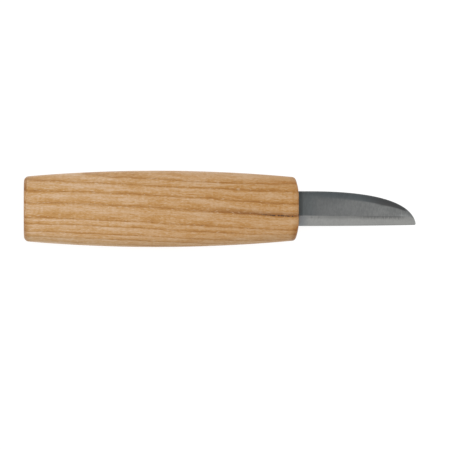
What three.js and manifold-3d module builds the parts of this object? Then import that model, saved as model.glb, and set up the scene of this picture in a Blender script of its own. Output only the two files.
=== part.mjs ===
// Whittling knife: a short carbon-steel blade bonded into a one-piece, barrel-shaped ash handle.
// Millimetres, +Z up. The knife lies on one broad face of its handle. X runs from the butt to the
// tip, +Y is the spine's side, and the blade's plane is halfway up the handle's thickness.
// The origin is the centre of the footprint.
import * as THREE from "three";
import { mergeVertices } from "three/addons/utils/BufferGeometryUtils.js";
import Module from "manifold-3d";

const wasm = await Module();
wasm.setup();

// Driving dimensions.
const HANDLE_LENGTH = 118;
const BLADE_REACH = 50; // from the handle's front face to the tip
const HANDLE_HEIGHT = 32.8; // across the swell
const HANDLE_THICKNESS = 22;
const SWELL_FROM_BUTT = 56.7;
const SIDE_ARC_RADIUS = 640; // the top and the belly, seen from the side
const ROUND_OVER = 10; // along the four long edges
const BUTT_EASING = 2; // the rounding of the butt's rim
const FRONT_EASING = 1.2; // the rounding of the front face's rim
const NOSE_FLAT = 5.1; // half the height of the front face's flat middle
const NOSE_RADIUS = 19.3; // how the front face falls back above and below its flat middle
const NOSE_REACH = 12; // how far behind the front face the nose's curve fades out

const BLADE_THICKNESS = 2;
const SPINE_Y = 7.555;
const STRAIGHT_SPINE = 4.86; // how far the spine runs straight from the handle
const SPINE_ROLL_WIDTH = 2.2; // the polished-over border along the spine
const SPINE_ROLL_DROP = 0.22;
const EDGE_Y = -7.36; // at the handle
const EDGE_RISE = 0.48; // how much higher the edge is at the tip
const EDGE_LAND = 0.04; // thickness of the steel at the very edge
const BEVEL_TOP_HEEL_Y = -2.85;
const BEVEL_TOP_TIP_Y = -3.4;
const HONED_HEIGHT = 0.4; // the steeper strip honed along the edge
const HONED_THICKNESS = 0.26; // at its upper border
const TIP_ROUND = 0.5;

const HEEL_DEPTH = 8; // how far the blade's full height runs into the handle
const TANG_LENGTH = 52;
const TANG_HALF_AT_HEEL = 4.9;
const TANG_HALF_AT_END = 3.6;
const NOTCH_RADIUS = 1.1;
const NOTCH_DEPTHS = [18, 28, 38];
const KEY_HOLE_RADIUS = 1.6;
const KEY_HOLE_DEPTH = 45;

const MORTISE_WIDTH = 3.2;
const MOUTH_HALF_HEIGHT = 8.2;
const MOUTH_DEPTH = 9;
const SOCKET_HALF_HEIGHT = 5.8;
const SOCKET_DEPTH = 54.5;
const BOND_RECESS = 0.4; // how far the adhesive stands back from the front face
const BOND_GAP = 0.3; // left between the adhesive and the steel, so that the two solids stay clear

// Places that follow from them.
const TOTAL_LENGTH = HANDLE_LENGTH + BLADE_REACH;
const BUTT_X = -TOTAL_LENGTH / 2;
const FRONT_X = BUTT_X + HANDLE_LENGTH;
const MID_Z = HANDLE_THICKNESS / 2;
const HALF_STEEL = BLADE_THICKNESS / 2;

const ASH = new THREE.MeshStandardMaterial({ color: 0xc49868, roughness: 0.55, metalness: 0 });
const STEEL = new THREE.MeshStandardMaterial({ color: 0x8b8c8b, roughness: 0.35, metalness: 1 });
const EPOXY = new THREE.MeshStandardMaterial({ color: 0x9c7a4c, roughness: 0.3, metalness: 0 });

function toSolid(geometry) {
  const bare = geometry.clone();
  bare.deleteAttribute("normal");
  bare.deleteAttribute("uv");
  const merged = mergeVertices(bare, 1e-4);
  return new wasm.Manifold(
    new wasm.Mesh({
      numProp: 3,
      vertProperties: merged.attributes.position.array,
      triVerts: new Uint32Array(merged.index.array),
    }),
  );
}

function toGeometry(solid) {
  const mesh = solid.getMesh();
  const geometry = new THREE.BufferGeometry()
    .setAttribute("position", new THREE.BufferAttribute(mesh.vertProperties, 3))
    .setIndex(new THREE.BufferAttribute(mesh.triVerts, 1));
  geometry.computeVertexNormals();
  return geometry;
}

// A closed skin through loops of equal point count, each end closed by a fan round its middle.
// The loops run anticlockwise seen from the last one, looking back at the first.
function loft(loops) {
  const count = loops[0].length;
  const middle = (loop) => loop.reduce((sum, p) => sum.add(p), new THREE.Vector3()).divideScalar(count);
  const points = [...loops.flat(), middle(loops[0]), middle(loops.at(-1))];
  const firstMiddle = points.length - 2;
  const lastMiddle = points.length - 1;
  const lastStart = (loops.length - 1) * count;
  const triangles = [];
  for (let i = 0; i < count; i++) {
    const next = (i + 1) % count;
    for (let row = 0; row < lastStart; row += count) {
      triangles.push(row + i, row + next, row + count + next);
      triangles.push(row + i, row + count + next, row + count + i);
    }
    triangles.push(firstMiddle, next, i);
    triangles.push(lastMiddle, lastStart + i, lastStart + next);
  }
  return new THREE.BufferGeometry().setFromPoints(points).setIndex(triangles);
}

// ---- Handle ----

// Half the height of the handle at a distance from the butt.
function halfHeight(fromButt) {
  const off = fromButt - SWELL_FROM_BUTT;
  return HANDLE_HEIGHT / 2 - (SIDE_ARC_RADIUS - Math.sqrt(SIDE_ARC_RADIUS ** 2 - off ** 2));
}

// How far the front face falls back from its flat middle at a height y.
function noseFall(y) {
  return Math.max(0, Math.abs(y) - NOSE_FLAT) ** 2 / (2 * NOSE_RADIUS);
}

// The handle's section as [y, z] from its middle: a rectangle with round corners, anticlockwise
// seen from the front.
function sectionPoints(halfY, halfZ, radius) {
  const shape = new THREE.Shape();
  const flatY = halfY - radius;
  const flatZ = halfZ - radius;
  const corners = [
    [flatY, flatZ, 0],
    [-flatY, flatZ, Math.PI / 2],
    [-flatY, -flatZ, Math.PI],
    [flatY, -flatZ, -Math.PI / 2],
  ];
  for (const [y, z, start] of corners) shape.absarc(y, z, radius, start, start + Math.PI / 2);
  const points = shape.extractPoints(8).shape;
  return points.filter((p, i) => p.distanceTo(points[(i + 1) % points.length]) > 1e-6);
}

// One loop of the handle's skin. inset shrinks the section, as the rounding of a rim does.
function handleLoop(fromButt, inset) {
  const fade = THREE.MathUtils.clamp(1 - (HANDLE_LENGTH - fromButt) / NOSE_REACH, 0, 1);
  const half = halfHeight(fromButt - noseFall(halfHeight(fromButt)) * fade);
  const section = sectionPoints(half - inset, HANDLE_THICKNESS / 2 - inset, ROUND_OVER - inset);
  return section.map((p) => new THREE.Vector3(BUTT_X + fromButt - noseFall(p.x) * fade, p.x, MID_Z + p.y));
}

// The front face's inner loops, which shrink towards the middle and stay on the nose's curve.
function noseLoop(share) {
  return handleLoop(HANDLE_LENGTH, FRONT_EASING).map(({ y, z }) => {
    const inner = y * share;
    return new THREE.Vector3(FRONT_X - noseFall(inner), inner, MID_Z + (z - MID_Z) * share);
  });
}

function handleBlank() {
  const rimSteps = 4;
  const bodySteps = 22;
  const loops = [];
  for (let i = 0; i <= rimSteps; i++) {
    const turn = (i / rimSteps) * (Math.PI / 2);
    loops.push(handleLoop(BUTT_EASING * (1 - Math.cos(turn)), BUTT_EASING * (1 - Math.sin(turn))));
  }
  const bodyEnd = HANDLE_LENGTH - FRONT_EASING;
  for (let i = 1; i < bodySteps; i++) {
    loops.push(handleLoop(THREE.MathUtils.lerp(BUTT_EASING, bodyEnd, i / bodySteps), 0));
  }
  for (let i = 0; i <= rimSteps; i++) {
    const turn = (i / rimSteps) * (Math.PI / 2);
    loops.push(handleLoop(bodyEnd + FRONT_EASING * Math.sin(turn), FRONT_EASING * (1 - Math.cos(turn))));
  }
  for (const share of [0.85, 0.7, 0.55, 0.4]) loops.push(noseLoop(share));
  return toSolid(loft(loops));
}

// A slot with round ends, as a cutter of the mortise's width leaves it, along X.
function slot(halfTall, fromX, toX) {
  const round = MORTISE_WIDTH / 2;
  const straight = halfTall - round;
  const shape = new THREE.Shape()
    .absarc(straight, 0, round, -Math.PI / 2, Math.PI / 2)
    .absarc(-straight, 0, round, Math.PI / 2, Math.PI * 1.5);
  const geometry = new THREE.ExtrudeGeometry(shape, { depth: toX - fromX, bevelEnabled: false, curveSegments: 12 });
  // The shape's x, y and depth become Y, Z and X.
  const turn = new THREE.Matrix4().makeBasis(
    new THREE.Vector3(0, 1, 0),
    new THREE.Vector3(0, 0, 1),
    new THREE.Vector3(1, 0, 0),
  );
  return toSolid(geometry.applyMatrix4(turn).translate(fromX, 0, MID_Z));
}

// The stepped pocket for the blade's heel and tang, cut in from the front face as far as openX.
function mortise(openX) {
  const mouth = slot(MOUTH_HALF_HEIGHT, FRONT_X - MOUTH_DEPTH, openX);
  const socket = slot(SOCKET_HALF_HEIGHT, FRONT_X - SOCKET_DEPTH, openX);
  return mouth.add(socket);
}

// ---- Blade and tang ----

// The spine from where it leaves the straight to the tip, as [reach, y].
const SPINE_CURVE = new THREE.CubicBezierCurve(
  new THREE.Vector2(STRAIGHT_SPINE, SPINE_Y),
  new THREE.Vector2(24.66, SPINE_Y),
  new THREE.Vector2(47.8, 5.15),
  new THREE.Vector2(BLADE_REACH, -6.15),
);

// The edge's height at a distance from the handle's front face: a very shallow belly, then the
// small round of the tip.
function edgeY(reach) {
  const belly = EDGE_Y + EDGE_RISE * (Math.max(0, reach) / BLADE_REACH) ** 2;
  const intoTip = Math.max(0, reach - (BLADE_REACH - TIP_ROUND));
  return belly + TIP_ROUND - Math.sqrt(TIP_ROUND ** 2 - intoTip ** 2);
}

// One loop of the blade's skin: up the lower side from the edge to the spine, back down the upper.
function bladeLoop(reach, spineY) {
  const edge = edgeY(reach);
  const bevelTop = THREE.MathUtils.lerp(BEVEL_TOP_HEEL_Y, BEVEL_TOP_TIP_Y, reach / BLADE_REACH);
  const honedTop = edge + HONED_HEIGHT;
  const rollStart = spineY - SPINE_ROLL_WIDTH;

  const halfThickness = (y) => {
    const honed = THREE.MathUtils.mapLinear(y, edge, honedTop, EDGE_LAND, HONED_THICKNESS) / 2;
    const ground = THREE.MathUtils.mapLinear(y, honedTop, bevelTop, HONED_THICKNESS, BLADE_THICKNESS) / 2;
    const rolled = HALF_STEEL - SPINE_ROLL_DROP * (Math.max(0, y - rollStart) / SPINE_ROLL_WIDTH) ** 2;
    return Math.min(honed, ground, rolled);
  };

  // Near the tip the levels close up, so that they always follow each other.
  const upTo = (from, level, most) => Math.min(level, THREE.MathUtils.lerp(from, spineY, most));
  const honedLevel = upTo(edge, honedTop, 0.3);
  const bevelLevel = upTo(edge, bevelTop, 0.7);
  const rollLevel = Math.max(rollStart, THREE.MathUtils.lerp(bevelLevel, spineY, 0.3));
  const rolls = [0.4, 0.7, 1].map((share) => THREE.MathUtils.lerp(rollLevel, spineY, share));
  const levels = [edge, honedLevel, bevelLevel, rollLevel, ...rolls];

  const point = (y, side) => new THREE.Vector3(FRONT_X + reach, y, MID_Z + side * halfThickness(y));
  const lower = levels.map((y) => point(y, -1));
  const upper = levels.map((y) => point(y, 1)).reverse();
  return [...lower, ...upper];
}

function groundBlade() {
  const steps = 30;
  const loops = [bladeLoop(-HEEL_DEPTH, SPINE_Y), bladeLoop(0, SPINE_Y)];
  for (let i = 0; i <= steps; i++) {
    const towardTip = 1 - (1 - i / steps) ** 1.5; // closer together near the tip
    const spine = SPINE_CURVE.getPoint(towardTip);
    loops.push(bladeLoop(spine.x, spine.y));
  }
  return toSolid(loft(loops));
}

function tangHalf(depth) {
  const share = (depth - HEEL_DEPTH) / (TANG_LENGTH - HEEL_DEPTH);
  return THREE.MathUtils.lerp(TANG_HALF_AT_HEEL, TANG_HALF_AT_END, share);
}

// The tang is sawn flat from the same steel, with notches and a hole for the adhesive to key into.
function tang() {
  const overlap = 0.5;
  const endRound = TANG_HALF_AT_END / 2;
  const start = overlap - HEEL_DEPTH;
  const shape = new THREE.Shape().moveTo(start, -TANG_HALF_AT_HEEL).lineTo(start, TANG_HALF_AT_HEEL);
  for (const depth of NOTCH_DEPTHS) {
    shape.absarc(-depth, tangHalf(depth), NOTCH_RADIUS, 0, Math.PI, true);
  }
  shape.lineTo(endRound - TANG_LENGTH, TANG_HALF_AT_END);
  shape.quadraticCurveTo(-TANG_LENGTH, TANG_HALF_AT_END, -TANG_LENGTH, TANG_HALF_AT_END - endRound);
  shape.lineTo(-TANG_LENGTH, endRound - TANG_HALF_AT_END);
  shape.quadraticCurveTo(-TANG_LENGTH, -TANG_HALF_AT_END, endRound - TANG_LENGTH, -TANG_HALF_AT_END);
  for (const depth of [...NOTCH_DEPTHS].reverse()) {
    shape.absarc(-depth, -tangHalf(depth), NOTCH_RADIUS, Math.PI, 0, true);
  }
  shape.holes.push(new THREE.Path().absarc(-KEY_HOLE_DEPTH, 0, KEY_HOLE_RADIUS, 0, Math.PI * 2));
  const flat = { depth: BLADE_THICKNESS, bevelEnabled: false, curveSegments: 10 };
  return toSolid(new THREE.ExtrudeGeometry(shape, flat).translate(FRONT_X, 0, MID_Z - HALF_STEEL));
}

// ---- Adhesive ----

// A solid grown by gap along each axis: copies of it, each moved that far, joined to it.
function grown(solid, gap) {
  let result = solid;
  for (const way of [-gap, gap]) {
    result = result.add(solid.translate([way, 0, 0]));
    result = result.add(solid.translate([0, way, 0]));
    result = result.add(solid.translate([0, 0, way]));
  }
  return result;
}

// Fills the mortise around the steel, and reaches into the tang's notches and through its hole.
function tangAdhesive(steel) {
  return mortise(FRONT_X - BOND_RECESS).subtract(grown(steel, BOND_GAP));
}

// ---- Assembly ----

const knife = new THREE.Group();

function addPiece(name, solid, material) {
  const mesh = new THREE.Mesh(toGeometry(solid), material);
  mesh.name = name;
  knife.add(mesh);
}

const blade = groundBlade().add(tang());
addPiece("handle", handleBlank().subtract(mortise(FRONT_X + 1)), ASH);
addPiece("blade", blade, STEEL);
addPiece("tang_adhesive", tangAdhesive(blade), EPOXY);

export default knife;
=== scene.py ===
"""Looks of the whittling knife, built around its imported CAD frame.

The knife lies on one broad face of its handle: X from the butt to the tip, +Y the spine's side,
+Z up. Shapes are worked out in millimetres and turned into metres when a mesh is made.
"""

import math

import bpy
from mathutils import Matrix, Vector, noise


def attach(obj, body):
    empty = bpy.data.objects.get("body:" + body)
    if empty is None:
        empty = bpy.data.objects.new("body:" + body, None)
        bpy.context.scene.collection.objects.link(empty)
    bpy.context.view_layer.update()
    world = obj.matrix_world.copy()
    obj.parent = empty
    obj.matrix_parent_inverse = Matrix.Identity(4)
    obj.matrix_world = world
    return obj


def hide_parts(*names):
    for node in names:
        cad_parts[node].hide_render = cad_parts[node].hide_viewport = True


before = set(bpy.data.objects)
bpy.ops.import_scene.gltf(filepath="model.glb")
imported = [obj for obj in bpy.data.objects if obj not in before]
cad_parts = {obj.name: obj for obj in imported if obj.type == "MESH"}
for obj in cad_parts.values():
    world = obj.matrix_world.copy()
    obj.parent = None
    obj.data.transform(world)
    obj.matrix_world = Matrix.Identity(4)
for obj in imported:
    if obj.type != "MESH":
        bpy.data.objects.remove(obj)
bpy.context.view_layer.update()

MM = 0.001  # one millimetre in metres

# Sizes of the knife in mm, as in the CAD model.
HANDLE_LENGTH = 118.0
BLADE_REACH = 50.0  # from the handle's front face to the tip
HALF_SWELL = 16.4
HALF_HANDLE = 11.0  # half the handle's thickness
SWELL_FROM_BUTT = 56.7
SIDE_ARC_RADIUS = 640.0
ROUND_OVER = 10.0  # of the handle's long edges
BUTT_EASING = 2.0
FRONT_EASING = 1.2
NOSE_FLAT = 5.1  # half the height of the front face's flat middle
NOSE_REACH = 12.0  # how far behind the front face its curve still bends the sides

HALF_STEEL = 1.0  # half the blade's thickness
SPINE_Y = 7.555
STRAIGHT_SPINE = 4.86  # from the front face to where the spine starts to curve
EDGE_Y = -7.36
EDGE_RISE = 0.48  # of the edge towards the tip
EDGE_LAND = 0.04  # thickness of the very edge
BEVEL_TOP_HEEL_Y = -2.85
BEVEL_TOP_TIP_Y = -3.4
HONED_HEIGHT = 0.4
HONED_THICKNESS = 0.26  # where the honed strip meets the ground bevel
TIP_ROUND = 0.5
SPINE_ROLL_WIDTH = 2.2
SPINE_ROLL_DROP = 0.22

HEEL_DEPTH = 8.0
TANG_LENGTH = 52.0
TANG_HALF_AT_HEEL = 4.9  # half the tang's height
TANG_HALF_AT_END = 3.6
NOTCH_RADIUS = 1.1
NOTCH_DEPTHS = (18.0, 28.0, 38.0)
KEY_HOLE_RADIUS = 1.6
KEY_HOLE_DEPTH = 45.0

HALF_MORTISE = 1.6  # half the mortise's width
MOUTH_HALF_HEIGHT = 8.2
MOUTH_DEPTH = 9.0
SOCKET_HALF_HEIGHT = 5.8
SOCKET_DEPTH = 54.5

# Finishing in mm that the CAD model leaves out or has plainer.
END_SANDING = 0.12  # taken off each of the handle's two ends
NOSE_RADIUS = 22.0  # of the front face beside its flat middle; 19.3 in the CAD model
BROKEN_RIM = 0.15  # round the mortise's mouth
SPINE_BREAK = 0.07  # of the spine's two corners
HEEL_SLOPE = 0.3  # how far the heel slopes back into the tang
BOND_RECESS = 0.19  # from the front face back to the adhesive; 0.4 in the CAD model
CLEARANCE = 0.01  # between solids that would otherwise share a face

BUTT_X = -(HANDLE_LENGTH + BLADE_REACH) / 2
FRONT_X = BUTT_X + HANDLE_LENGTH
MID_Z = HALF_HANDLE


# ---------------------------------------------------------------- small helpers


def lerp(a, b, share):
    return a + (b - a) * share


def clamp(value, low=0.0, high=1.0):
    return max(low, min(high, value))


def smooth(value):
    """0 to 1 with level ends."""
    t = clamp(value)
    return t * t * (3 - 2 * t)


def arc_height(radius, off_centre):
    """How high a circle stands above its centre line, off_centre from its middle."""
    return math.sqrt(max(0.0, radius**2 - off_centre**2))


def spread(start, end, steps):
    """Levels after start, up to and with end."""
    return [lerp(start, end, i / steps) for i in range(1, steps + 1)]


def quarter_turn(steps):
    """Angles from nothing to a right angle."""
    return [i / steps * math.pi / 2 for i in range(steps + 1)]


def at(x, outline):
    """A loop at x from an outline of (y, z) points around the knife's axis."""
    return [(x, y, MID_Z + z) for y, z in outline]


def skin(name, loops, crisp_points=(), crisp_loops=()):
    """A closed mesh through loops of (x, y, z) points in millimetres, each of the same count.

    The loops run anticlockwise seen from the last one, looking back at the first. The edges along
    crisp_points (places in a loop) and round crisp_loops (places in the list) shade as creases.
    """
    count = len(loops[0])
    points = [Vector(p) * MM for loop in loops for p in loop]
    faces = []
    for row in range(len(loops) - 1):
        near = row * count
        far = near + count
        for i in range(count):
            j = (i + 1) % count
            faces.append((near + i, near + j, far + j, far + i))
    for row, flip in ((0, True), (len(loops) - 1, False)):
        ring = [row * count + i for i in range(count)]
        middle = len(points)
        points.append(sum((points[i] for i in ring), Vector()) / count)
        for i in range(count):
            a, b = ring[i], ring[(i + 1) % count]
            faces.append((middle, b, a) if flip else (middle, a, b))
    mesh = bpy.data.meshes.new(name)
    mesh.from_pydata(points, [], faces)
    mesh.shade_smooth()
    mark_creases(mesh, count, len(loops), set(crisp_points), set(crisp_loops))
    piece = bpy.data.objects.new(name, mesh)
    bpy.context.scene.collection.objects.link(piece)
    return piece


def mark_creases(mesh, count, rows, crisp_points, crisp_loops):
    """Sharpens a skin's edges along crisp_points and round crisp_loops."""
    sharp = mesh.attributes.new("sharp_edge", "BOOLEAN", "EDGE")
    end_middles = count * rows  # the two points after all the loops
    for edge in mesh.edges:
        a, b = edge.vertices
        if max(a, b) >= end_middles:
            continue
        along = a % count == b % count and a % count in crisp_points
        around = a // count == b // count and a // count in crisp_loops
        sharp.data[edge.index].value = along or around


def cut(piece, cutter):
    """Takes cutter away from piece and deletes cutter."""
    modifier = piece.modifiers.new("cut", "BOOLEAN")
    modifier.operation = "DIFFERENCE"
    modifier.solver = "MANIFOLD"
    modifier.object = cutter
    with bpy.context.temp_override(object=piece, active_object=piece, selected_objects=[piece]):
        bpy.ops.object.modifier_apply(modifier=modifier.name)
    bpy.data.objects.remove(cutter)


def round_rectangle(half_y, half_z, radius):
    """Points of a rectangle with round corners, always the same number in the same order."""
    corner_steps, broad_steps, side_steps = 22, 26, 4
    flat_y, flat_z = half_y - radius, half_z - radius
    corners = ((flat_y, flat_z), (-flat_y, flat_z), (-flat_y, -flat_z), (flat_y, -flat_z))
    straights = (broad_steps, side_steps, broad_steps, side_steps)
    points = []
    for quarter, ((y, z), steps) in enumerate(zip(corners, straights)):
        for i in range(corner_steps + 1):
            turn = (quarter + i / corner_steps) * math.pi / 2
            points.append((y + radius * math.cos(turn), z + radius * math.sin(turn)))
        next_y, next_z = corners[(quarter + 1) % 4]
        turn = (quarter + 1) * math.pi / 2
        start = points[-1]
        end = (next_y + radius * math.cos(turn), next_z + radius * math.sin(turn))
        for i in range(1, steps):
            share = i / steps
            points.append((lerp(start[0], end[0], share), lerp(start[1], end[1], share)))
    return points


def slot_outline(half_height, half_width):
    """A slot's outline, its two ends very nearly half round."""
    return round_rectangle(half_height, half_width, half_width - 0.1)


# ---------------------------------------------------------------- handle

RIM_STEPS = 8  # round the eased rims of the handle's two ends


def half_height(from_butt):
    """Half the handle's size along Y: each side is one long arc."""
    from_swell = from_butt - SWELL_FROM_BUTT
    return HALF_SWELL - (SIDE_ARC_RADIUS - arc_height(SIDE_ARC_RADIUS, from_swell))


def nose_fall(y):
    """How far the front face falls back from its flat middle at a height y."""
    return max(0.0, abs(y) - NOSE_FLAT) ** 2 / (2 * NOSE_RADIUS)


def front_x(y):
    """Where the sanded front face stands at a height y."""
    return FRONT_X - END_SANDING - nose_fall(y)


def sanded_off(x, y, z):
    """What sanding by hand has taken off the handle's sides, in mm: broad waves and small ones."""
    wave = Vector((x / 26, y / 9, z / 9))
    return 0.03 * (1 + noise.noise(wave)) + 0.01 * (1 + noise.noise(wave * 3))


def handle_loop(from_butt, inset):
    """One loop of the handle's skin, sanded by hand: never quite even, and never proud."""
    fade = clamp(1 - (HANDLE_LENGTH - from_butt) / NOSE_REACH)
    half = half_height(from_butt - nose_fall(half_height(from_butt)) * fade)
    from_end = lerp(END_SANDING, HANDLE_LENGTH - END_SANDING, from_butt / HANDLE_LENGTH)
    loop = []
    for y, z in round_rectangle(half - inset, HALF_HANDLE - inset, ROUND_OVER - inset):
        x = from_end - nose_fall(y) * fade
        side = clamp(Vector((y / half, z / HALF_HANDLE)).length)
        shrink = 1 - sanded_off(x, y, z) * side / HALF_SWELL
        loop.append((BUTT_X + x, y * shrink, MID_Z + z * shrink))
    return loop


def butt_loops():
    """The butt: a nearly flat end that runs into an eased rim."""
    rim = handle_loop(0, BUTT_EASING)
    loops = []
    for share in (0.12, 0.3, 0.5, 0.68, 0.84, 0.94):
        loops.append([(x, y * share, MID_Z + (z - MID_Z) * share) for x, y, z in rim])
    for turn in quarter_turn(RIM_STEPS):
        from_butt = BUTT_EASING * (1 - math.cos(turn))
        loops.append(handle_loop(from_butt, BUTT_EASING * (1 - math.sin(turn))))
    return loops


def side_loops():
    """The sides, then the eased rim of the front face."""
    sides_end = HANDLE_LENGTH - FRONT_EASING
    steps = 150
    loops = [handle_loop(lerp(BUTT_EASING, sides_end, i / steps), 0) for i in range(1, steps)]
    for turn in quarter_turn(RIM_STEPS):
        from_butt = sides_end + FRONT_EASING * math.sin(turn)
        loops.append(handle_loop(from_butt, FRONT_EASING * (1 - math.cos(turn))))
    return loops


def front_loops(rim):
    """The front face, from its rim in to the mortise's mouth, whose own rim is just broken."""
    mouth = slot_outline(MOUTH_HALF_HEIGHT, HALF_MORTISE)
    wide = slot_outline(MOUTH_HALF_HEIGHT + BROKEN_RIM, HALF_MORTISE + BROKEN_RIM)
    steps = 10
    loops = []
    for i in range(1, steps + 1):
        inward = i / steps
        loop = []
        for (_, y, z), (mouth_y, mouth_z) in zip(rim, wide):
            level = lerp(y, mouth_y, inward)
            loop.append((front_x(level), level, lerp(z, MID_Z + mouth_z, inward)))
        loops.append(loop)
    loops.append([(front_x(y) - BROKEN_RIM, y, MID_Z + z) for y, z in mouth])
    return loops


def mortise_loops():
    """Inside: the mouth for the blade's heel, a shoulder, then the deep socket for the tang."""
    mouth = slot_outline(MOUTH_HALF_HEIGHT, HALF_MORTISE)
    socket = slot_outline(SOCKET_HALF_HEIGHT, HALF_MORTISE - CLEARANCE)
    shoulder_x = FRONT_X - MOUTH_DEPTH
    end_x = FRONT_X - SOCKET_DEPTH
    loops = [at(lerp(FRONT_X, shoulder_x, 0.5), mouth), at(shoulder_x, mouth)]
    for share in (0.0, 0.33, 0.67, 1.0):
        loops.append(at(lerp(shoulder_x, end_x, share), socket))
    return loops


def make_handle():
    outside = butt_loops() + side_loops()
    outside += front_loops(outside[-1])
    loops = outside + mortise_loops()
    mouth_rim = len(outside) - 1
    shoulder = mouth_rim + 2
    crisp = (mouth_rim, shoulder, shoulder + 1, len(loops) - 1)
    return skin("oiled_ash_handle", loops, crisp_loops=crisp)


# ---------------------------------------------------------------- blade

BLADE_STEPS = (2, 10, 14, 12)  # up the honed strip, the ground bevel, the flat, the spine's roll
SPINE_STEPS = 96  # along the spine's curve

# The darker border along the spine, in mm.
BORDER_WIDTH = 2.9
BORDER_END = 46.6  # how far from the handle it has run out
BORDER_TAPER = 11.0  # the length before its end in which it narrows
BORDER_SOFTNESS = 2.6  # of its lower side, at the handle
BORDER_SHARPNESS = 0.6  # the same, from 32 mm out


def edge_y(reach):
    """The edge's height: a very shallow belly, then the small round of the tip."""
    belly = EDGE_Y + EDGE_RISE * (max(0.0, reach) / BLADE_REACH) ** 2
    into_tip = max(0.0, reach - (BLADE_REACH - TIP_ROUND))
    return belly + TIP_ROUND - arc_height(TIP_ROUND, into_tip)


def bevel_top_y(reach):
    return lerp(BEVEL_TOP_HEEL_Y, BEVEL_TOP_TIP_Y, reach / BLADE_REACH)


def spine_point(t):
    """(reach, y) along the spine's curve, from where it leaves the straight to the tip.

    The two middle corners bend it, as in the CAD model.
    """
    corners = ((STRAIGHT_SPINE, SPINE_Y), (24.66, SPINE_Y), (47.8, 5.15), (BLADE_REACH, -6.15))
    weights = ((1 - t) ** 3, 3 * t * (1 - t) ** 2, 3 * t**2 * (1 - t), t**3)
    return tuple(sum(w * c[axis] for w, c in zip(weights, corners)) for axis in (0, 1))


def steel_half(y, edge, bevel_top, spine_y):
    """Half the blade's thickness at a height y, by whichever surface is lowest there."""
    honed_top = edge + HONED_HEIGHT
    honed = lerp(EDGE_LAND, HONED_THICKNESS, (y - edge) / HONED_HEIGHT) / 2
    ground = lerp(HONED_THICKNESS / 2, HALF_STEEL, (y - honed_top) / (bevel_top - honed_top))
    into_roll = max(0.0, y - (spine_y - SPINE_ROLL_WIDTH)) / SPINE_ROLL_WIDTH
    rolled = HALF_STEEL - SPINE_ROLL_DROP * into_roll**2
    return min(honed, ground, rolled)


def blade_loop(reach, spine_y):
    """Up the lower side from the edge to the spine, over the spine and back down the upper."""
    edge = edge_y(reach)
    bevel_top = bevel_top_y(reach)
    # Near the tip the falling spine squeezes these borders together.
    honed_level = min(edge + HONED_HEIGHT, lerp(edge, spine_y, 0.3))
    bevel_level = min(bevel_top, lerp(edge, spine_y, 0.7))
    roll_level = max(spine_y - SPINE_ROLL_WIDTH, lerp(bevel_level, spine_y, 0.3))
    levels = [edge]
    for target, steps in zip((honed_level, bevel_level, roll_level, spine_y), BLADE_STEPS):
        levels += spread(levels[-1], target, steps)
    halves = [steel_half(y, edge, bevel_top, spine_y) for y in levels]
    # The spine is flat across, with its two corners just broken.
    levels[-1] = spine_y - SPINE_BREAK
    flat_half = halves[-1] * 0.92
    x = FRONT_X + reach
    lower = [(x, y, MID_Z - half) for y, half in zip(levels, halves)]
    upper = [(x, y, MID_Z + half) for y, half in zip(levels, halves)]
    across = [(x, spine_y, MID_Z + side * flat_half) for side in (-1, 0, 1)]
    return lower + across + upper[::-1]


def tang_half(depth):
    """Half the tang's height: a taper with round notches and a rounded end."""
    down_tang = (depth - HEEL_DEPTH) / (TANG_LENGTH - HEEL_DEPTH)
    half = lerp(TANG_HALF_AT_HEEL, TANG_HALF_AT_END, down_tang)
    for notch in NOTCH_DEPTHS:
        half -= arc_height(NOTCH_RADIUS, depth - notch)
    end_radius = TANG_HALF_AT_END / 2
    into_end = max(0.0, depth - (TANG_LENGTH - end_radius))
    return half - (end_radius - arc_height(end_radius, into_end))


def tang_loop(depth, like):
    """A flat section of the tang, its points spaced as in a loop of the blade."""
    half = tang_half(depth)
    low, high = like[0][1], max(y for _, y, _ in like)
    loop = []
    for _, y, z in like:
        level = lerp(-half, half, (y - low) / (high - low))
        side = math.copysign(1, z - MID_Z) if abs(z - MID_Z) > 1e-6 else 0
        loop.append((FRONT_X - depth, level, MID_Z + side * HALF_STEEL))
    return loop


def tang_depths():
    """Where the tang's sections lie, from the heel to its end: closest where it curves."""
    depths = [HEEL_DEPTH + HEEL_SLOPE]
    notch_steps = 12
    for notch in NOTCH_DEPTHS:
        turns = [i / notch_steps * math.pi for i in range(notch_steps + 1)]
        depths += [notch - NOTCH_RADIUS * math.cos(turn) for turn in turns]
    end_start = TANG_LENGTH - TANG_HALF_AT_END / 2
    end = TANG_LENGTH - 0.02  # just short of where the round would stand upright
    depths += [lerp(end_start, end, math.sin(turn)) for turn in quarter_turn(8)]
    return depths


def make_blade():
    heel = blade_loop(-HEEL_DEPTH, SPINE_Y)
    loops = [tang_loop(depth, heel) for depth in reversed(tang_depths())]
    shoulder = len(loops) - 1
    loops.append(heel)
    for reach in (-6.0, -4.0, -2.0, 0.0, 1.6, 3.2):
        loops.append(blade_loop(reach, SPINE_Y))
    for i in range(SPINE_STEPS + 1):
        toward_tip = 1 - (1 - i / SPINE_STEPS) ** 1.5  # loops lie closer together at the tip
        loops.append(blade_loop(*spine_point(toward_tip)))
    honed, ground = BLADE_STEPS[:2]
    spine = sum(BLADE_STEPS)
    one_side = [0, honed, honed + ground, spine, spine + 1]
    creases = one_side + [len(heel) - 1 - i for i in one_side]
    piece = skin("steel_blade", loops, creases, crisp_loops=(shoulder, shoulder + 1))
    cut(piece, round_bar("key_hole_cutter", KEY_HOLE_DEPTH, KEY_HOLE_RADIUS))
    mark_spine_border(piece)
    return piece


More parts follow.
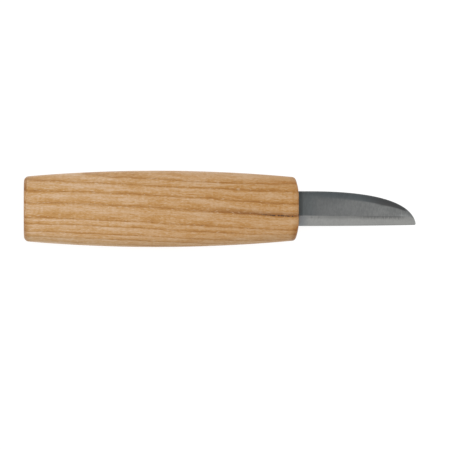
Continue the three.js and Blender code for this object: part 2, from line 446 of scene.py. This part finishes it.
def mark_spine_border(piece):
    """Stores how far each point belongs to the darker border that follows the spine, and to
    the thin brighter rim between that border and the spine."""
    steps = 60
    curve = [Vector((-HEEL_DEPTH, SPINE_Y))]
    curve += [Vector(spine_point(i / steps)) for i in range(steps + 1)]
    border = piece.data.attributes.new("spine_border", "FLOAT", "POINT")
    rim = piece.data.attributes.new("spine_rim", "FLOAT", "POINT")
    for vertex, border_mark, rim_mark in zip(piece.data.vertices, border.data, rim.data):
        point = Vector((vertex.co.x / MM - FRONT_X, vertex.co.y / MM))
        apart = min(nearest_gap(point, a, b) for a, b in zip(curve, curve[1:]))
        reach = point.x
        width = BORDER_WIDTH * math.sqrt(clamp((BORDER_END - reach) / BORDER_TAPER))
        softness = lerp(BORDER_SOFTNESS, BORDER_SHARPNESS, smooth((reach - 2) / 30))
        border_mark.value = smooth((width + softness / 2 - apart) / softness) * clamp(width)
        rim_mark.value = smooth((0.9 - apart) / 0.7)


def nearest_gap(point, a, b):
    """How far a point lies from the straight line between a and b."""
    along = clamp((point - a).dot(b - a) / (b - a).length_squared)
    return (point - a.lerp(b, along)).length


def round_bar(name, depth, radius):
    """A bar through the tang along Z, as a cutter."""
    sides = 32
    turns = [i / sides * 2 * math.pi for i in range(sides)]
    outline = [(FRONT_X - depth + radius * math.cos(t), radius * math.sin(t)) for t in turns]
    loops = [[(x, y, z) for x, y in outline] for z in (MID_Z - 3, MID_Z + 3)]
    return skin(name, loops, crisp_loops=(0, 1))


# ---------------------------------------------------------------- adhesive


def make_adhesive(steel_piece):
    """Fills the mortise around the steel. Its front sags a little between wood and steel."""
    mouth = slot_outline(MOUTH_HALF_HEIGHT - CLEARANCE, HALF_MORTISE - CLEARANCE)
    socket = slot_outline(SOCKET_HALF_HEIGHT - CLEARANCE, HALF_MORTISE - 2 * CLEARANCE)
    shoulder_x = FRONT_X - MOUTH_DEPTH + CLEARANCE
    end_x = FRONT_X - SOCKET_DEPTH + CLEARANCE
    loops = [at(end_x, [(y * 0.4, z * 0.4) for y, z in socket]), at(end_x, socket)]
    loops += [at(shoulder_x, socket), at(shoulder_x, mouth)]
    # Across the mouth, from the wood to the middle of the steel. It sags by 0.1 mm where it is
    # more than 0.2 mm away from both, and it is a little uneven.
    for share in (1.0, 0.95, 0.9, 0.85, 0.8, 0.72, 0.6, 0.3):
        loop = []
        for y, z in mouth:
            to_wood = HALF_MORTISE * (1 - share)
            to_steel = abs(abs(z * share) - HALF_STEEL)
            sag = 0.1 * clamp(min(to_wood, to_steel) / 0.2)
            uneven = 0.04 * noise.noise(Vector((y / 1.7, z * 2, 4.0)))
            level = y * lerp(1, share, 0.5)
            x = front_x(level) - BOND_RECESS - sag + uneven
            loop.append((x, level, MID_Z + z * share))
        loops.append(loop)
    piece = skin("cured_adhesive", loops, crisp_loops=(1, 2, 3, 4))
    body = steel_piece.copy()
    body.data = steel_piece.data.copy()
    bpy.context.scene.collection.objects.link(body)
    cut(piece, body)
    return piece


# ---------------------------------------------------------------- materials


class Material:
    """A node material with short ways to add and link nodes. Positions inside it are in mm."""

    def __init__(self, name):
        self.material = bpy.data.materials.new(name)
        self.material.use_nodes = True
        self.tree = self.material.node_tree
        self.tree.nodes.clear()
        self.output = self.tree.nodes.new("ShaderNodeOutputMaterial")
        self.coordinates = self.tree.nodes.new("ShaderNodeTexCoord")

    def set(self, socket, value):
        if isinstance(value, bpy.types.NodeSocket):
            self.tree.links.new(value, socket)
        elif value is not None:
            socket.default_value = value

    def position(self, stretch=(1, 1, 1), offset=(0, 0, 0)):
        """Object position in mm, times stretch, plus offset."""
        in_metres = self.coordinates.outputs["Object"]
        return self.stretched(in_metres, [s / MM for s in stretch], offset)

    def stretched(self, vector, stretch, offset):
        node = self.tree.nodes.new("ShaderNodeVectorMath")
        node.operation = "MULTIPLY_ADD"
        self.set(node.inputs[0], vector)
        node.inputs[1].default_value = stretch
        node.inputs[2].default_value = offset
        return node.outputs[0]

    def normal(self):
        """The surface's direction, as x, y and z."""
        return self.split(self.coordinates.outputs["Normal"])

    def attribute(self, name):
        """A number stored at each point of the piece's mesh."""
        node = self.tree.nodes.new("ShaderNodeAttribute")
        node.attribute_name = name
        return node.outputs["Fac"]

    def math(self, operation, *values, clamped=False):
        node = self.tree.nodes.new("ShaderNodeMath")
        node.operation = operation
        node.use_clamp = clamped
        for socket, value in zip(node.inputs, values):
            self.set(socket, value)
        return node.outputs[0]

    def add(self, first, second):
        return self.math("ADD", first, second)

    def minus(self, first, second):
        return self.math("SUBTRACT", first, second)

    def times(self, first, second):
        return self.math("MULTIPLY", first, second)

    def scaled(self, value, factor, shift, clamped=False):
        """value times factor, plus shift."""
        return self.math("MULTIPLY_ADD", value, factor, shift, clamped=clamped)

    def distance(self, value):
        """value without its sign."""
        return self.math("ABSOLUTE", value)

    def larger(self, first, second):
        return self.math("MAXIMUM", first, second)

    def split(self, vector):
        node = self.tree.nodes.new("ShaderNodeSeparateXYZ")
        self.set(node.inputs[0], vector)
        return node.outputs

    def join(self, x, y, z):
        node = self.tree.nodes.new("ShaderNodeCombineXYZ")
        for socket, value in zip(node.inputs, (x, y, z)):
            self.set(socket, value)
        return node.outputs[0]

    def noise(self, vector, detail=2.0, roughness=0.5):
        """Soft noise around 0.5, one patch to each unit of vector."""
        node = self.tree.nodes.new("ShaderNodeTexNoise")
        self.set(node.inputs["Vector"], vector)
        node.inputs["Scale"].default_value = 1.0
        node.inputs["Detail"].default_value = detail
        node.inputs["Roughness"].default_value = roughness
        return node.outputs["Fac"]

    def between(self, value, low, high, to_low=0.0, to_high=1.0):
        """Maps low..high to to_low..to_high smoothly and clamps."""
        node = self.tree.nodes.new("ShaderNodeMapRange")
        node.interpolation_type = "SMOOTHSTEP"
        for socket, item in zip(node.inputs, (value, low, high, to_low, to_high)):
            self.set(socket, item)
        return node.outputs[0]

    def ramp(self, value, stops):
        """Straight grey ramp through (position, value) stops."""
        node = self.tree.nodes.new("ShaderNodeValToRGB")
        elements = node.color_ramp.elements
        while len(elements) < len(stops):
            elements.new(0.5)
        for element, (position, level) in zip(elements, stops):
            element.position = position
            element.color = (level, level, level, 1)
        self.set(node.inputs[0], value)
        return node.outputs["Color"]

    def mix(self, share, first, second, blend="MIX"):
        """share of the colour second over the colour first."""
        node = self.tree.nodes.new("ShaderNodeMix")
        node.data_type = "RGBA"
        node.blend_type = blend
        node.clamp_factor = True
        self.set(node.inputs["Factor"], share)
        # The colour sockets come after those for numbers and vectors, which have the same names.
        self.set(node.inputs[6], first)
        self.set(node.inputs[7], second)
        return node.outputs[2]

    def tint(self, share, colour, tint):
        """colour multiplied by share of tint."""
        return self.mix(share, colour, tint, blend="MULTIPLY")

    def bump(self, height, distance_mm, strength):
        node = self.tree.nodes.new("ShaderNodeBump")
        node.inputs["Distance"].default_value = distance_mm * MM
        node.inputs["Strength"].default_value = strength
        self.set(node.inputs["Height"], height)
        return node.outputs[0]

    def finish(self, **inputs):
        node = self.tree.nodes.new("ShaderNodeBsdfPrincipled")
        for name, value in inputs.items():
            self.set(node.inputs[name.replace("_", " ")], value)
        self.tree.links.new(node.outputs[0], self.output.inputs["Surface"])
        return self.material


def paint(red, green, blue):
    """A colour as it shows on screen, 0 to 255, turned into the linear values nodes use."""
    levels = [c / 255 for c in (red, green, blue)]
    return (*[c / 12.92 if c <= 0.04045 else ((c + 0.055) / 1.055) ** 2.4 for c in levels], 1)


# ---------------------------------------------------------------- ash
# In these functions x is the distance from the butt, y from the handle's axis and z from its
# upper face, all in mm.

# Where the year rings cross the upper broad face at the butt, in mm from the handle's axis.
DARK_RING = 2.6
RING_LINES = (-28, -25.4, -22, -19.4, -16.3, -13.2, -10.5, -6.5, -3.9)
RING_LINES += (DARK_RING, 7.4, 10.8, 12.7, 16.6, 19.8, 24)
RING_TILT = math.radians(22)  # of the rings, across the handle
GRAIN_DROP = 5.1  # how far the grain runs towards the edge's side from butt to front

# How dark the wood is, and how strong a ring's line, by the share of the year still to come.
YEAR_TONE = ((0.0, 1.0), (0.07, 0.62), (0.15, 0.15), (0.32, 0.0))
YEAR_TONE += ((0.56, 0.2), (0.8, 0.48), (0.94, 0.78), (1.0, 1.0))
YEAR_LINE = ((0.0, 1.0), (0.07, 0.4), (0.14, 0.0), (0.9, 0.0), (1.0, 1.0))


def place_across_rings(m, x, y, z):
    """y, with the rings' tilt, the grain's run-out along the handle and a slow wander."""
    drop = m.times(m.between(x, 3, 141, 0, GRAIN_DROP), m.between(y, 14, -2, 0.55, 1.25))
    dip = m.times(m.between(x, 60, 100), m.between(y, 9.5, 12.5))
    wander = m.scaled(m.noise(m.position((0.035, 0.11, 0.11))), 1.0, -0.5)
    fine_wander = m.scaled(m.noise(m.position((0.12, 0.35, 0.35))), 0.8, -0.4)
    across = m.add(m.add(y, m.add(drop, dip)), m.add(wander, fine_wander))
    return m.scaled(z, math.tan(RING_TILT), across)


def year_rings(m, across):
    """How dark each year's growth is, and where the line between two years shows."""
    low, high = RING_LINES[0], RING_LINES[-1]
    last = len(RING_LINES) - 1
    stops = [((line - low) / (high - low), i / last) for i, line in enumerate(RING_LINES)]
    place = m.math("DIVIDE", m.minus(across, low), high - low)
    year = m.times(m.ramp(place, stops), last)
    to_come = m.minus(1.0, m.math("FRACT", year))
    return m.ramp(to_come, YEAR_TONE), m.ramp(to_come, YEAR_LINE)


def along_grain(m, grain, length, width, detail, shift=0.0):
    """Noise drawn out along the grain, in patches of this length and width in mm."""
    stretch = (1 / length, 1 / width, 1 / width)
    place = m.stretched(grain, stretch, (shift, shift, shift))
    return m.noise(place, detail=detail, roughness=0.6)


def wood_tone(m, x, y, grain, streaks, dark):
    """0 for the palest wood to 1 for the deepest: the years, the fibres and the wide bands."""
    silk = along_grain(m, grain, 1.4, 0.38, 3, shift=11)
    broad = along_grain(m, grain, 26.0, 2.6, 2, shift=7)
    patchy = along_grain(m, grain, 14.0, 4.0, 2, shift=31)
    ripple = m.noise(m.position((0.9, 0.16, 0.3)), detail=1)
    tone = m.times(dark, m.between(patchy, 0.35, 0.65, 0.3, 0.75))
    for fibres, strength in ((streaks, 1.1), (silk, 1.4), (broad, 0.8), (ripple, 0.3)):
        tone = m.add(tone, m.scaled(fibres, strength, -strength / 2))
    # The sapwood along the spine's side is paler towards the blade, and so is one band on the
    # edge's side.
    sapwood = m.times(m.between(y, 11.0, 13.5, 0, 0.12), m.between(x, 45, 85))
    tone = m.add(tone, m.minus(0.22, sapwood))
    from_pale = m.distance(m.add(y, 7.6))
    pale = m.times(m.between(from_pale, 2.6, 1.2, 0, 0.12), m.between(x, 80, 95))
    return m.minus(tone, pale)


def wood_colour(m, tone, line):
    """Pale, middle and deep wood by tone, with the years' lines over them."""
    light = paint(214, 181, 147)
    middle = paint(196, 150, 94)
    deep = paint(176, 125, 67)
    vein = paint(152, 101, 48)
    colour = m.mix(m.math("MULTIPLY", tone, 2.0, clamped=True), light, middle)
    colour = m.mix(m.scaled(tone, 2.0, -1.0, clamped=True), colour, deep)
    return m.mix(m.times(line, 0.3), colour, vein)


def dark_ring_marks(m, x, across, grain):
    """One ring is darker towards the blade than the rest, and its pores there hold dirt."""
    off_line = m.minus(across, DARK_RING)
    ring = m.times(m.between(off_line, -0.3, 0.15), m.between(off_line, 2.6, 0.2))
    ring = m.times(ring, m.between(x, 66, 100))
    ring = m.times(ring, m.between(off_line, 1.6, 0.2, 0.5, 0.78))
    on_line = m.between(m.distance(m.minus(off_line, 0.1)), 0.32, 0.12)
    dirt = m.times(m.between(x, 99, 106), m.between(x, 117, 115))
    dirt = m.times(dirt, m.between(along_grain(m, grain, 1.0, 1.2, 1, shift=57), 0.43, 0.53))
    return ring, m.times(dirt, on_line)


def oil_and_shade_ends(m, x, y, colour):
    """End grain takes up more oil. Near the ends the wood is darker, most at the corners and on
    the edge's side: partly oil, partly painted shade of the eased rims.
    """
    facing_along, _, _ = m.normal()
    end_grain = m.between(m.distance(facing_along), 0.3, 0.85)
    colour = m.tint(m.times(end_grain, 0.3), colour, paint(222, 186, 118))
    past_flat = m.larger(m.minus(m.distance(y), NOSE_FLAT), 0.0)
    nose = m.math("POWER", past_flat, 2.0)
    to_front = m.minus(HANDLE_LENGTH, m.scaled(nose, 0.5 / NOSE_RADIUS, x))
    # Partly oil, partly painted shade: darker towards the front face, most on the edge's side, and
    # at the butt's rim and upper corner.
    front = m.times(m.between(to_front, 3.2, 0.8), m.between(y, -4, -10, 0.28, 1))
    upper_corner = m.times(m.between(x, 1.9, 1.1), m.between(y, 6.5, 8.5, 0, 0.85))
    butt = m.times(m.between(x, 3.6, 0.6), m.between(y, -3, -7, 0.2, 0.5))
    oil_and_rim_shade = m.larger(front, m.larger(butt, upper_corner))
    return m.tint(oil_and_rim_shade, colour, paint(212, 190, 146))


def paint_edge_light(m, x, colour):
    """Painted light on the long round-overs: painted shade greys the edge's side, the spine's side
    has a painted sheen, and a warmer painted shade towards the blade."""
    _, sideways, _ = m.normal()
    # Painted shade: the round-over facing the edge's side is darkened and greyed.
    colour = m.tint(m.between(sideways, -0.55, -0.85, 0, 0.5), colour, paint(226, 229, 222))
    # Painted sheen on the round-over facing the spine, fading towards the blade.
    sheen = m.times(m.between(sideways, 0.9, 0.99, 0, 0.2), m.between(x, 60, 100, 1, 0.2))
    colour = m.mix(sheen, colour, paint(222, 196, 168))
    # Painted shade: a warm tint damps the pale reflection on the side facing the spine, near the
    # blade.
    upper_edge = m.times(m.between(sideways, 0.25, 0.75), m.between(x, 94, 110, 0, 0.5))
    return m.tint(upper_edge, colour, paint(230, 202, 120))


def ash_material():
    m = Material("oiled_ash")
    x, y, z = m.split(m.position(offset=(-BUTT_X, 0, -2 * HALF_HANDLE)))
    across = place_across_rings(m, x, y, z)
    grain = m.join(x, across, z)
    dark, line = year_rings(m, across)
    streaks = along_grain(m, grain, 10.0, 0.75, 2)
    colour = wood_colour(m, wood_tone(m, x, y, grain, streaks, dark), line)

    ring, dirt = dark_ring_marks(m, x, across, grain)
    colour = m.mix(ring, colour, paint(138, 90, 48))
    flecks = m.between(along_grain(m, grain, 2.4, 0.6, 2, shift=21), 0.56, 0.72)
    colour = m.mix(m.times(flecks, 0.55), colour, paint(222, 197, 168))
    pores = m.between(along_grain(m, grain, 1.3, 0.22, 1, shift=43), 0.60, 0.70)
    pores = m.times(pores, m.scaled(line, 0.4, 0.05))
    colour = m.mix(pores, colour, paint(92, 60, 38))
    colour = m.mix(m.times(dirt, 0.85), colour, paint(68, 62, 58))
    # The wood gets a little deeper from the butt to the blade.
    colour = m.tint(m.between(x, 0, 120, 0, 0.42), colour, paint(208, 181, 116))
    # More oil on the end grain; near the ends, oil and painted shade of the eased rims.
    colour = oil_and_shade_ends(m, x, y, colour)
    # Painted shade and sheen on the long round-overs, by the way they face.
    colour = paint_edge_light(m, x, colour)

    relief = m.add(m.times(streaks, 0.5), m.times(m.larger(pores, dirt), -1.6))
    relief = m.add(relief, m.times(line, -0.5))
    return m.finish(
        Base_Color=colour,
        Roughness=m.scaled(streaks, 0.2, 0.42),
        Normal=m.bump(relief, 0.05, 0.7),
        Specular_IOR_Level=0.35,
    )


# ---------------------------------------------------------------- steel
# In these functions x is the distance from the handle's front face and y from the knife's axis,
# in mm, and above_bevel is how far a place lies above the bevel's top line.


def bevel_colour(m, x, y, above_bevel):
    """Darker just under its top line, a painted shade which fades out at the tip. Darker on the
    honed strip too, and painted shade darkens it at the handle.
    """
    darker_steel = paint(110, 110, 108)
    # Painted shade: the bevel is darker and bluer where it meets the handle.
    ground = m.mix(m.between(x, 0, 5), paint(164, 168, 171), paint(191, 191, 188))
    ground = m.mix(m.between(x, 30, 42), ground, paint(186, 186, 183))
    # Painted shade under the bevel's top line, where a rounded shoulder would turn from the light.
    shoulder = m.times(m.between(above_bevel, -2.0, -0.2, 0, 0.42), m.between(x, 2, 14, 0.4, 1))
    shoulder = m.times(shoulder, m.between(x, 34, 46, 1, 0.4))
    ground = m.mix(shoulder, ground, darker_steel)
    belly = m.times(m.times(x, x), -EDGE_RISE / BLADE_REACH**2)
    above_edge = m.add(m.minus(y, EDGE_Y), belly)
    honed = m.between(above_edge, HONED_HEIGHT + 0.05, HONED_HEIGHT - 0.05)
    return m.mix(m.times(honed, m.between(x, 0, 30, 0.1, 0.3)), ground, darker_steel)


def flat_colour(m, x, above_bevel):
    """The flat above the bevel, its light painted: shaded along the spine, dark at the handle,
    bright at the tip.
    """
    # Painted reflection: the flat brightens from the handle towards the tip, and more right at the
    # tip.
    flat = m.mix(m.between(x, 2, 40), paint(174, 174, 173), paint(199, 198, 195))
    at_tip = m.times(m.between(x, 40, 45), m.between(above_bevel, 1.7, 0.3))
    flat = m.mix(at_tip, flat, paint(224, 224, 221))
    # Painted shade along the spine, where its rolled border mirrors the dark ceiling.
    spine_shade = m.mix(m.between(x, 24, 38), paint(144, 150, 152), paint(124, 122, 121))
    border = m.times(m.attribute("spine_border"), m.between(x, 0, 12, 0.25, 1))
    flat = m.mix(border, flat, spine_shade)
    # Painted shade: the flat darkens and turns bluer towards the handle.
    flat = m.mix(m.between(x, 1, 10, 0.65, 0), flat, paint(140, 152, 155))
    rim = m.times(m.attribute("spine_rim"), m.between(x, 3, 15, 0.55, 0.2))
    flat = m.mix(rim, flat, paint(196, 196, 194))
    # Painted shade: a dark stripe just outside the handle; bluer steel where it goes in.
    flat = m.mix(m.between(x, 0.9, 2.1, 0.8, 0), flat, paint(113, 123, 127))
    return m.tint(m.between(x, 0.1, 0.6, 1, 0), flat, paint(236, 250, 255))


def grinding_ticks(m, x, above_bevel):
    """Ticks where the grinding wheel stopped along the top of the bevel, and two stray ones."""
    wheel = m.noise(m.position((2.0, 0, 0)), roughness=0.7)
    length = m.between(wheel, 0.38, 0.62, 0.1, 1.3)
    ticks = m.between(m.add(above_bevel, length), -0.2, 0.25)
    ticks = m.times(ticks, m.between(above_bevel, 0.3, 0.0))
    ticks = m.times(ticks, m.between(wheel, 0.34, 0.5, 0.45, 1))
    ticks = m.times(ticks, m.times(m.between(x, 19, 32), m.between(x, 46.5, 43.5)))
    for reach in (5.4, 8.4):
        apart = m.distance(m.minus(x, reach))
        spot = m.add(apart, m.distance(m.add(above_bevel, 0.7)))
        ticks = m.larger(ticks, m.between(spot, 0.9, 0.2, 0, 0.5))
    return ticks


def steel_material():
    m = Material("ground_carbon_steel")
    x, y, _ = m.split(m.position(offset=(-FRONT_X, 0, -MID_Z)))
    bevel_slope = (BEVEL_TOP_TIP_Y - BEVEL_TOP_HEEL_Y) / BLADE_REACH
    above_bevel = m.minus(y, m.scaled(x, bevel_slope, BEVEL_TOP_HEEL_Y))
    bevel = m.between(above_bevel, 0.12, -0.12)
    ground = bevel_colour(m, x, y, above_bevel)
    colour = m.mix(bevel, flat_colour(m, x, above_bevel), ground)

    # Grinding lines run straight across the blade, over a fine speckle.
    fine = m.noise(m.position((4.5, 0.3, 0.5)), detail=3, roughness=0.7)
    coarse = m.noise(m.position((1.6, 0.05, 0.2)))
    speckle = m.noise(m.position((1.5, 0.8, 0.8)), roughness=0.6)
    cloud = m.noise(m.position((0.12, 0.3, 0.3)), detail=3)
    shade = m.add(m.times(fine, 0.3), m.times(speckle, 0.4))
    shade = m.scaled(cloud, 0.3, shade)
    mottle = m.times(m.between(shade, 0.38, 0.62, 1, 0), m.scaled(bevel, -0.15, 0.36))
    colour = m.mix(mottle, colour, paint(120, 122, 122))
    ticks = grinding_ticks(m, x, above_bevel)
    colour = m.mix(m.times(ticks, 0.6), colour, paint(112, 112, 111))

    flat_is_duller = m.between(above_bevel, -0.12, 0.12, 0.24, 0.32)
    relief = m.add(fine, m.times(coarse, 0.6))
    return m.finish(
        Base_Color=colour,
        Metallic=1.0,
        Roughness=m.add(m.times(fine, 0.14), flat_is_duller),
        Normal=m.bump(relief, 0.012, 0.5),
    )


# ---------------------------------------------------------------- adhesive and table top


def adhesive_material():
    m = Material("cured_epoxy")
    cloud = m.noise(m.position((0.4, 0.4, 0.4)), detail=3)
    bubbles = m.noise(m.position((3.0, 3.0, 3.0)), detail=1)
    colour = m.mix(m.between(cloud, 0.3, 0.7), paint(160, 118, 68), paint(126, 90, 51))
    return m.finish(
        Base_Color=colour,
        Roughness=m.scaled(cloud, 0.2, 0.18),
        Normal=m.bump(bubbles, 0.03, 0.5),
        Coat_Weight=0.4,
        Coat_Roughness=0.1,
    )


def floor_material():
    m = Material("white_table")
    speckle = m.noise(m.position((0.02, 0.02, 0.02)))
    colour = m.mix(speckle, paint(120, 120, 120), paint(126, 126, 126))
    return m.finish(
        Base_Color=colour,
        Roughness=0.7,
        Specular_IOR_Level=0.2,
        Emission_Color=paint(255, 255, 255),
        Emission_Strength=0.88,
    )


# ---------------------------------------------------------------- the knife

handle = make_handle()
handle.data.materials.append(ash_material())
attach(handle, "root")
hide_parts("handle")

steel = make_blade()
steel.data.materials.clear()
steel.data.materials.append(steel_material())
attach(steel, "root")
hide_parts("blade")

bond = make_adhesive(steel)
bond.data.materials.clear()
bond.data.materials.append(adhesive_material())
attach(bond, "root")
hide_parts("tang_adhesive")


# ---------------------------------------------------------------- table, light and camera


def make_floor():
    half = 20.0  # metres
    mesh = bpy.data.meshes.new("table_top")
    corners = [(-half, -half, 0), (half, -half, 0), (half, half, 0), (-half, half, 0)]
    mesh.from_pydata(corners, [], [(0, 1, 2, 3)])
    floor = bpy.data.objects.new("table_top", mesh)
    floor.data.materials.append(floor_material())
    bpy.context.scene.collection.objects.link(floor)


def make_world():
    """White walls all round and a darker ceiling, which the steel's flats mirror."""
    walls = (0.72, 0.72, 0.72, 1)
    ceiling = (0.24, 0.255, 0.265, 1)
    lean = math.radians(28)  # of the ceiling's middle, towards the spine's side
    world = bpy.data.worlds.new("light_tent")
    bpy.context.scene.world = world
    world.use_nodes = True
    nodes, links = world.node_tree.nodes, world.node_tree.links
    nodes.clear()
    direction = nodes.new("ShaderNodeTexCoord")
    upwards = nodes.new("ShaderNodeVectorMath")
    upwards.operation = "DOT_PRODUCT"
    upwards.inputs[1].default_value = (0, math.sin(lean), math.cos(lean))
    ramp = nodes.new("ShaderNodeValToRGB")
    ramp.color_ramp.interpolation = "EASE"
    for stop, height, colour in zip(ramp.color_ramp.elements, (0.45, 0.98), (walls, ceiling)):
        stop.position = height
        stop.color = colour
    background = nodes.new("ShaderNodeBackground")
    background.inputs["Strength"].default_value = 1.0
    output = nodes.new("ShaderNodeOutputWorld")
    links.new(direction.outputs["Generated"], upwards.inputs[0])
    links.new(upwards.outputs["Value"], ramp.inputs[0])
    links.new(ramp.outputs["Color"], background.inputs["Color"])
    links.new(background.outputs[0], output.inputs["Surface"])


def make_softbox(name, place, size, power):
    """A soft light for the wood. The steel doesn't mirror it: its tones come from the tent."""
    lamp = bpy.data.lights.new(name, "AREA")
    lamp.shape = "RECTANGLE"
    lamp.size, lamp.size_y = size
    lamp.energy = power
    light = bpy.data.objects.new(name, lamp)
    light.location = place
    light.rotation_euler = (-Vector(place)).to_track_quat("-Z", "Y").to_euler()
    light.visible_camera = False
    light.visible_glossy = False
    bpy.context.scene.collection.objects.link(light)


def make_camera():
    """Straight above the knife, with a long lens."""
    view_width = 192.93 * MM  # in the blade's plane
    middle_x = 2.28 * MM
    middle_y = -6.92 * MM
    above_blade = 5.0  # metres
    lens = bpy.data.cameras.new("camera")
    lens.sensor_width = 36
    lens.lens = lens.sensor_width * above_blade / view_width
    camera = bpy.data.objects.new("camera", lens)
    camera.location = (middle_x, middle_y, MID_Z * MM + above_blade)
    bpy.context.scene.collection.objects.link(camera)
    bpy.context.scene.camera = camera


make_floor()
make_world()
make_softbox("overhead", place=(0.1, 0.35, 1.5), size=(1.4, 1.0), power=14)  # metres and watts
make_camera()
bpy.context.scene.view_settings.view_transform = "Standard"
